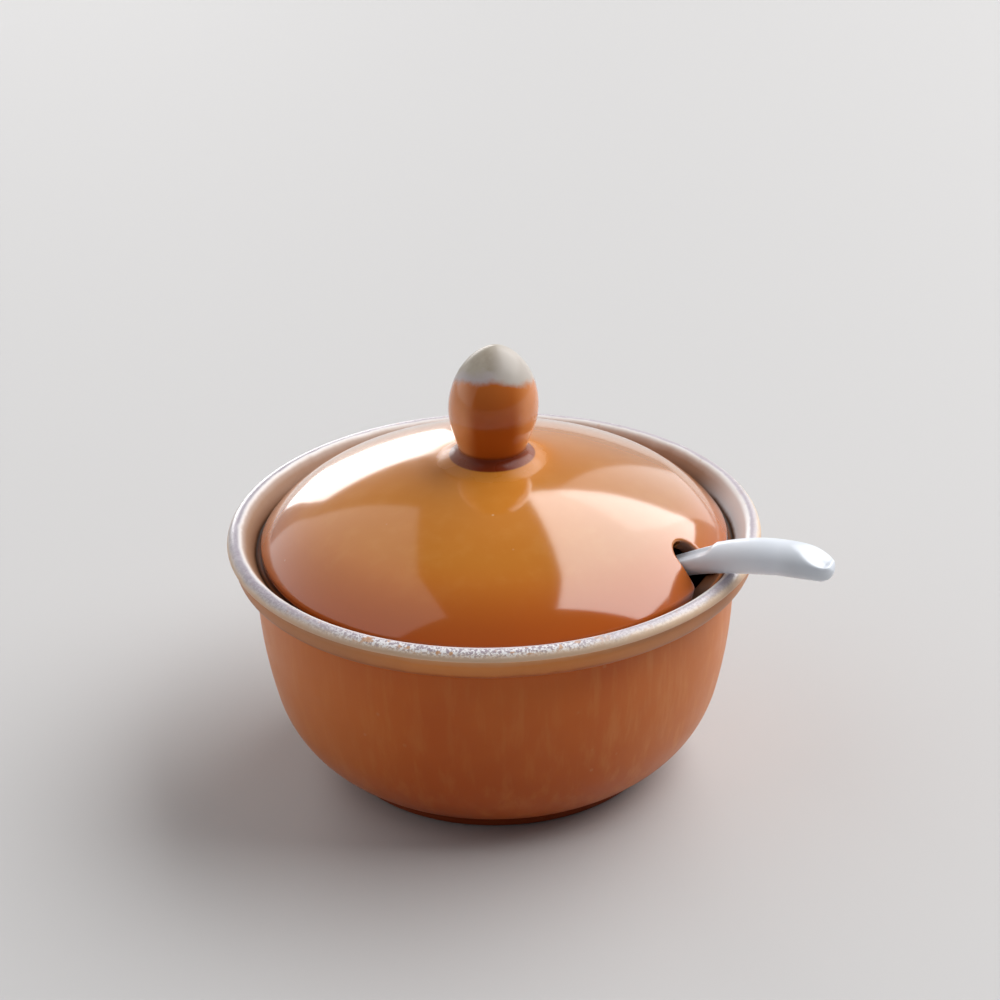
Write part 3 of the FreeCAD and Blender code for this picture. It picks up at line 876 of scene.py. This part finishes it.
# the lip's stops: painted shade by the ledge, pale at the top, partly broken glaze and partly a painted
# highlight
lip = [(-6.4, (0.020, 0.010, 0.005)), (-5.6, (0.050, 0.025, 0.014)), (-4.8, (0.240, 0.110, 0.055)),
       (-2.6, (0.400, 0.245, 0.155)), (-1.4, (0.640, 0.550, 0.490)), (-0.5, (0.880, 0.860, 0.850))]
roll_top = [(0.0, (0.500, 0.440, 0.500)), (0.9, (0.520, 0.450, 0.460)), (1.5, (0.800, 0.620, 0.460)),
            (2.3, (0.720, 0.500, 0.340)), (3.4, (0.840, 0.560, 0.360)), (4.4, (0.800, 0.430, 0.215))]
bead = [(5.3, (0.800, 0.300, 0.082)), (6.8, (0.640, 0.205, 0.048)), (7.4, (0.440, 0.105, 0.018)),
        (8.2, (0.500, 0.120, 0.018))]
rim = g.ramp(band, -7.0, 11.0, lip + roll_top + bead)
on_rim = g.times(g.step(along, -6.6, -5.6), g.step(along, 9.4, 7.6))
# painted shade inside the pot, below the ledge
inside_shade = (0.050, 0.022, 0.012)
body = g.mix(g.step(along, -5.9, -6.6, 0.0, 0.90), body, inside_shade)
body = g.mix(on_rim, body, rim)
print("rim colours", len(lip + roll_top + bead), "stops")

# %% [markdown]
# The sides of the rim carry painted light: painted shade makes the bead browner towards its sides and the lip
# darker on one side, a painted highlight makes the lip nearly white on the other, and painted shade makes the
# crest greyer on one side.

# %% Sides of the rim
# painted shade: the bead is painted browner towards its sides
bead_side_shade = g.times(g.step(band, 1.2, 4.6), g.step(along, 8.6, 7.4))
bead_side_shade = g.times(bead_side_shade, g.step(g.math("ABSOLUTE", g.x), 0.008, 0.034, 0.0, 0.70))
body = g.mix(bead_side_shade, body, (0.440, 0.205, 0.105))
# painted shade on the lip's left side
dim_lip = g.times(g.step(band, -5.5, -4.5), g.step(band, -0.8, -1.5), g.step(g.x, -0.012, -0.038, 0.0, 0.40))
body = g.mix(dim_lip, body, (0.330, 0.190, 0.120))
# painted highlight: the lip on the right is painted nearly white where a window shows in it
lit_lip = g.times(g.step(band, -5.3, -4.3), g.step(band, -0.3, -0.9))
lit_side = g.times(g.step(g.x, 0.030, 0.044), g.step(g.y, 0.024, 0.008))
body = g.mix(g.times(lit_lip, lit_side), body, (0.920, 0.920, 0.920))
crest = g.times(g.step(band, -1.0, 0.0), g.step(band, 2.2, 1.2))
# painted shade: the crest is painted greyer on its left side
shaded = g.times(crest, g.step(g.x, -0.024, -0.046, 0.0, 0.60))
body = g.mix(shaded, body, (0.230, 0.195, 0.245))
print("with the sides", len(g.tree.nodes), "nodes")

# %% [markdown]
# The speckle of the crest is a very fine noise cut at two levels, into dark and pale specks, with a few
# rusty spots. It is strongest in the middle of the front, where the crest broke most.

# %% Crest speckle
middle = g.apart(g.x, -0.005)
crest_grain = g.times(crest, g.step(middle, 0.030, 0.014, 0.22, 1.0), g.step(g.y, -0.015, -0.036, 0.40, 1.0),
                      g.step(band, -0.35, 0.10))
dark_speck, pale_speck, rust_spot = (0.360, 0.290, 0.340), (0.940, 0.920, 0.930), (0.600, 0.290, 0.110)
body = g.mix(g.times(crest_grain, g.step(grain, 0.50, 0.62, 0.0, 0.8)), body, dark_speck)
body = g.mix(g.times(crest_grain, g.step(grain, 0.54, 0.44, 0.0, 0.95)), body, pale_speck)
rust = g.times(crest_grain, g.step(g.noise(520.0, 2.0, 0.5), 0.60, 0.66))
body = g.mix(g.times(rust, 0.8), body, rust_spot)
print("with the speckle", len(g.tree.nodes), "nodes")

# %% [markdown]
# Last come the dark pools under the bead and at the foot, partly pooled glaze and partly painted shade, a few
# pale flecks, and the surface itself: satin, glossier on the crest, with a relief too fine to show as more
# than a softened shine.

# %% Pot surface
# partly pooled glaze and partly painted shade under the bead and at the foot
pool_and_shade_share = g.step(g.attribute("pool_and_shade"), 0.15, 0.9)
body = g.mix(g.times(pool_and_shade_share, 0.8), body, (0.180, 0.026, 0.005))
distance, pick = g.cells(420.0)
fleck = g.times(g.step(distance, 0.22, 0.10), g.step(pick, 0.95, 0.97))
body = g.mix(g.times(fleck, 0.25), body, (0.620, 0.330, 0.170))
satin = g.step(g.noise(90.0, 3.0, 0.6), 0.3, 0.7, 0.34, 0.46)
relief = g.math("MULTIPLY_ADD", streaks, 0.6, g.times(grain, 0.10))
g.lay_on(pot, {"Base Color": body, "Roughness": g.math("MULTIPLY_ADD", crest, -0.16, satin),
               "Specular IOR Level": 0.22, "Coat Weight": g.math("MULTIPLY_ADD", crest, 0.8, 0.10),
               "Coat Roughness": 0.28, "Normal": g.bump(relief, 0.00006)})

# %% [markdown]
# ### Lid glaze
# A clear, glossy amber glaze, so smooth that windows show in it. It is honey-coloured on the crown, painted
# shade makes it darker on the right, and it runs redder down the shoulder, where it is thick. On the edge it
# breaks to a thin pale line on one side.

# %% Dome colours
g = Finish("lid_glaze")
radius = g.radius()
clouds = g.noise(30.0, 3.0, 0.5)
mottle = g.noise(240.0, 3.0, 0.55)
amber, amber_light, amber_spot = (0.545, 0.176, 0.013), (0.585, 0.203, 0.020), (0.680, 0.300, 0.060)
crown_honey, right_side_shade, shoulder_red = (0.640, 0.255, 0.050), (0.370, 0.145, 0.024), (0.520, 0.100, 0.004)
glaze = g.mix(g.step(clouds, 0.3, 0.7), amber, amber_light)
glaze = g.mix(g.times(g.step(mottle, 0.45, 0.75), 0.20), glaze, amber_spot)
wander = g.math("MULTIPLY_ADD", g.y, -0.10, g.shifted(radius, clouds, 0.006))
glaze = g.mix(g.step(radius, 0.034, 0.012, 0.0, 0.40), glaze, crown_honey)
# painted shade: the right side, under the bright window, is painted darker
glaze = g.mix(g.step(g.x, 0.002, 0.030, 0.0, 0.50), glaze, right_side_shade)
glaze = g.mix(g.step(wander, 0.032, 0.0490), glaze, shoulder_red)
edge_break = g.times(g.step(g.apart(g.z, 0.0452), 0.0009, 0.0002), g.step(g.x, 0.030, 0.040),
                     g.step(radius, 0.0432, 0.0436))
glaze = g.mix(edge_break, glaze, (0.220, 0.240, 0.280))
print("dome colours", len(g.tree.nodes), "nodes")

# %% [markdown]
# The knob has a painted reflection, light tan on its sides, and painted shade in a darker band down its front
# and back. The dark ring round its foot is partly glaze gathered there and partly painted shade.

# %% Knob colours
# painted reflection on the knob's sides and painted shade down its front and back
side = g.step(g.apart(g.x, 0.0006), 0.0030, 0.0062)
painted_shade_red, painted_reflection_tan = (0.440, 0.085, 0.008), (0.740, 0.255, 0.068)
upper_tan, ring_pool_and_shade = (0.560, 0.170, 0.030), (0.140, 0.014, 0.003)
knob_tone = g.mix(side, painted_shade_red, painted_reflection_tan)
knob_tone = g.mix(g.times(g.step(g.z, 0.0700, 0.0785), 0.5), knob_tone, upper_tan)
# partly pooled glaze and partly painted shade in the ring under the knob
knob_tone = g.mix(g.times(g.step(g.z, 0.0646, 0.0636), 0.85), knob_tone, ring_pool_and_shade)
on_knob = g.step(g.z, 0.06200, 0.06220)
glaze = g.mix(on_knob, glaze, knob_tone)
print("with the knob", len(g.tree.nodes), "nodes")

# %% [markdown]
# The knob's tip was dipped in a pale grey slip, held at a slant, so its line is tilted, and ragged where it
# ran. The line is a height that a noise shifts, and everything above it is slip, bluish at the line and
# pale on one side.

# %% Slip on the tip
ragged = g.noise(250.0, 3.0, 0.55)
slip_line = g.math("MULTIPLY_ADD", g.y, -0.42, g.shifted(0.0764, ragged, 0.0042))
above = g.math("SUBTRACT", g.z, slip_line)
slip = g.mix(g.step(mottle, 0.35, 0.65), (0.350, 0.295, 0.230), (0.440, 0.385, 0.310))
slip = g.mix(g.step(above, 0.0030, 0.0008), slip, (0.490, 0.430, 0.430))
slip = g.mix(g.step(g.x, -0.0010, 0.0030), slip, (0.530, 0.480, 0.430))
slip_share = g.step(above, -0.0010, 0.0011)
glaze = g.mix(slip_share, glaze, slip)
print("with the slip", len(g.tree.nodes), "nodes")

# %% [markdown]
# Pinholes are small burst bubbles in the glaze, pale dots scattered over the dome. The walls of the notch
# are darkened with painted shade, and the knob's foot and tip are duller than the dome, so less of the coat's
# mirror shows on them.

# %% Lid surface
distance, pick = g.cells(260.0)
pinhole = g.times(g.step(distance, 0.11, 0.05), g.step(pick, 0.87, 0.90), g.step(on_knob, 1.0, 0.0, 0.0, 0.6))
glaze = g.mix(pinhole, glaze, (0.800, 0.620, 0.380))
# painted shade on the notch's walls and corners
glaze = g.mix(g.times(g.attribute("cut"), 0.85), glaze, (0.120, 0.034, 0.010))
gloss = g.math("MULTIPLY_ADD", slip_share, 0.22, g.step(mottle, 0.3, 0.7, 0.10, 0.15))
knob_foot = g.times(g.step(radius, 0.0130, 0.0095), g.step(g.z, 0.0650, 0.0635))
knob_coat = g.times(g.step(side, 0.0, 1.0, 0.20, 0.75), g.step(knob_foot, 0.0, 1.0, 1.0, 0.10),
                    g.step(slip_share, 0.0, 1.0, 1.0, 0.30))
on_dome = g.step(radius, 0.0095, 0.0140)
waves = g.noise(55.0, 2.0, 0.4)
g.lay_on(lid, {"Base Color": glaze, "Roughness": g.math("MULTIPLY_ADD", knob_foot, 0.16, gloss),
               "Specular IOR Level": 0.20, "Coat Weight": g.math("MAXIMUM", knob_coat, on_dome),
               "Coat Roughness": 0.09, "Coat IOR": 1.6,
               "Normal": g.bump(g.math("MULTIPLY_ADD", mottle, 0.03, waves), 0.00012)})

# %% [markdown]
# ### Spoon glaze
# White porcelain under a clear glaze, a touch cool, with the faintest unevenness. Its rubbed tip has painted
# shade, a little darker, where the window light falls on its bevel.

# %% Spoon glaze
g = Finish("spoon_glaze")
tone = g.noise(120.0, 2.0, 0.5)
white = g.mix(g.step(tone, 0.3, 0.7), (0.770, 0.815, 0.890), (0.815, 0.855, 0.920))
along = g.math("MULTIPLY_ADD", g.x, cos(bearing), g.times(g.y, sin(bearing)))
# painted shade on the bevelled tip
tip_shade = g.step(along, 0.0575, 0.0620)
g.lay_on(spoon, {"Base Color": g.mix(tip_shade, white, (0.680, 0.720, 0.780)),
                 "Roughness": g.step(tone, 0.3, 0.7, 0.28, 0.36), "Coat Weight": 0.2, "Coat Roughness": 0.16,
                 "Normal": g.bump(g.noise(140.0, 2.0, 0.5), 0.00010)})

# %% [markdown]
# ## Table, light and camera
# The jar stands on a plain pale table, a single flat face wide enough to fill the view.

# %% Table
bpy.ops.mesh.primitive_plane_add(size=12.0, location=(0, 0, -0.0002))
table = bpy.context.object
table.name = "table"
g = Finish("table")
g.lay_on(table, {"Base Color": (0.560, 0.552, 0.548), "Roughness": 0.6, "Specular IOR Level": 0.3})

# %% [markdown]
# The light comes from four windows: a bright one high on the right, a large dim one on the left, and behind
# the jar a small one low down and a tall, dim one. The glossy lid mirrors them, so their shapes and turns
# matter as much as their light. Small lamps would light the jar as well, but would show as points in the
# glaze.

# %% Lights
def window(name, azimuth, elevation, distance, width, height, radiance, facing=None, turn=0.0):
    """A rectangular light that faces the jar, or along its own azimuth and elevation.

    Its power is radiance times pi times its area; azimuths run from +Y towards +X."""
    a, e = radians(azimuth), radians(elevation)
    towards = np.array([sin(a) * cos(e), cos(a) * cos(e), sin(e)])
    lamp = bpy.data.lights.new(name, "AREA")
    lamp.shape, lamp.size, lamp.size_y = "RECTANGLE", width, height
    lamp.energy = radiance * pi * width * height
    holder = bpy.data.objects.new(name, lamp)
    face_a, face_e = (radians(v) for v in (facing or (azimuth, elevation)))
    place = Matrix.Translation(np.array([0.0, 0.0, 0.045]) + towards * distance)
    holder.matrix_world = (place @ Matrix.Rotation(pi - face_a, 4, "Z") @
                           Matrix.Rotation(pi / 2 - face_e, 4, "X") @ Matrix.Rotation(radians(turn), 4, "Z"))
    bpy.context.scene.collection.objects.link(holder)
    print(name, [round(v, 2) for v in holder.matrix_world.translation])

window("window_right", 65, 48, 2.0, 2.6, 1.7, 4.2, turn=-14.0)
window("window_left", -66.5, 41, 2.55, 4.5, 3.7, 0.65, facing=(-90, 20))
window("window_back", -15, 7, 2.2, 0.85, 1.0, 4.2)
window("window_behind", 27, 22, 2.4, 0.8, 1.9, 0.9)

# %% [markdown]
# The room behind the table is lighter than the ceiling and the side the jar is seen from. It is two smooth
# steps, one towards the back and one down from the ceiling, multiplied.

# %% Room
world = bpy.data.worlds.new("world")
world.use_nodes = True
tree = world.node_tree
direction = tree.nodes.new("ShaderNodeSeparateXYZ")
tree.links.new(tree.nodes.new("ShaderNodeTexCoord").outputs["Generated"], direction.inputs[0])
shares = []
for output, low, high in (("Y", -0.5, 0.6), ("Z", 0.75, 0.15)):
    node = tree.nodes.new("ShaderNodeMapRange")
    node.interpolation_type = "SMOOTHSTEP"
    node.inputs["From Min"].default_value, node.inputs["From Max"].default_value = low, high
    tree.links.new(direction.outputs[output], node.inputs["Value"])
    shares.append(node.outputs["Result"])
both_shares = tree.nodes.new("ShaderNodeMath")
both_shares.operation = "MULTIPLY"
room = tree.nodes.new("ShaderNodeMix")
room.data_type = "RGBA"
for k, share in enumerate(shares):
    tree.links.new(share, both_shares.inputs[k])
tree.links.new(both_shares.outputs[0], room.inputs[0])
room.inputs[6].default_value = (0.14, 0.14, 0.145, 1.0)
room.inputs[7].default_value = (0.50, 0.50, 0.51, 1.0)
tree.links.new(room.outputs[2], tree.nodes["Background"].inputs["Color"])
scene = bpy.context.scene
scene.world = world
scene.view_settings.view_transform = "Standard"
print("room", room.inputs[6].default_value[0], "to", room.inputs[7].default_value[0])

# %% [markdown]
# The camera looks down at the jar from the front through a long lens, and is held with a very slight tilt.

# %% Camera
lens = bpy.data.cameras.new("camera")
lens.sensor_width, lens.lens = 36.0, 104.6
lens.clip_start, lens.clip_end = 0.01, 50.0
camera = bpy.data.objects.new("camera", lens)
camera.location = (0.00127, -0.48545, 0.29508)
camera.rotation_mode = "XYZ"
looking = radians(90.0 - 26.56)
roll_angle = radians(-1.33)
camera.matrix_world = (Matrix.Translation(camera.location) @ Matrix.Rotation(looking, 4, "X")
                       @ Matrix.Rotation(roll_angle, 4, "Z"))
scene.collection.objects.link(camera)
scene.camera = camera
print("camera", [round(v, 3) for v in camera.matrix_world.translation])
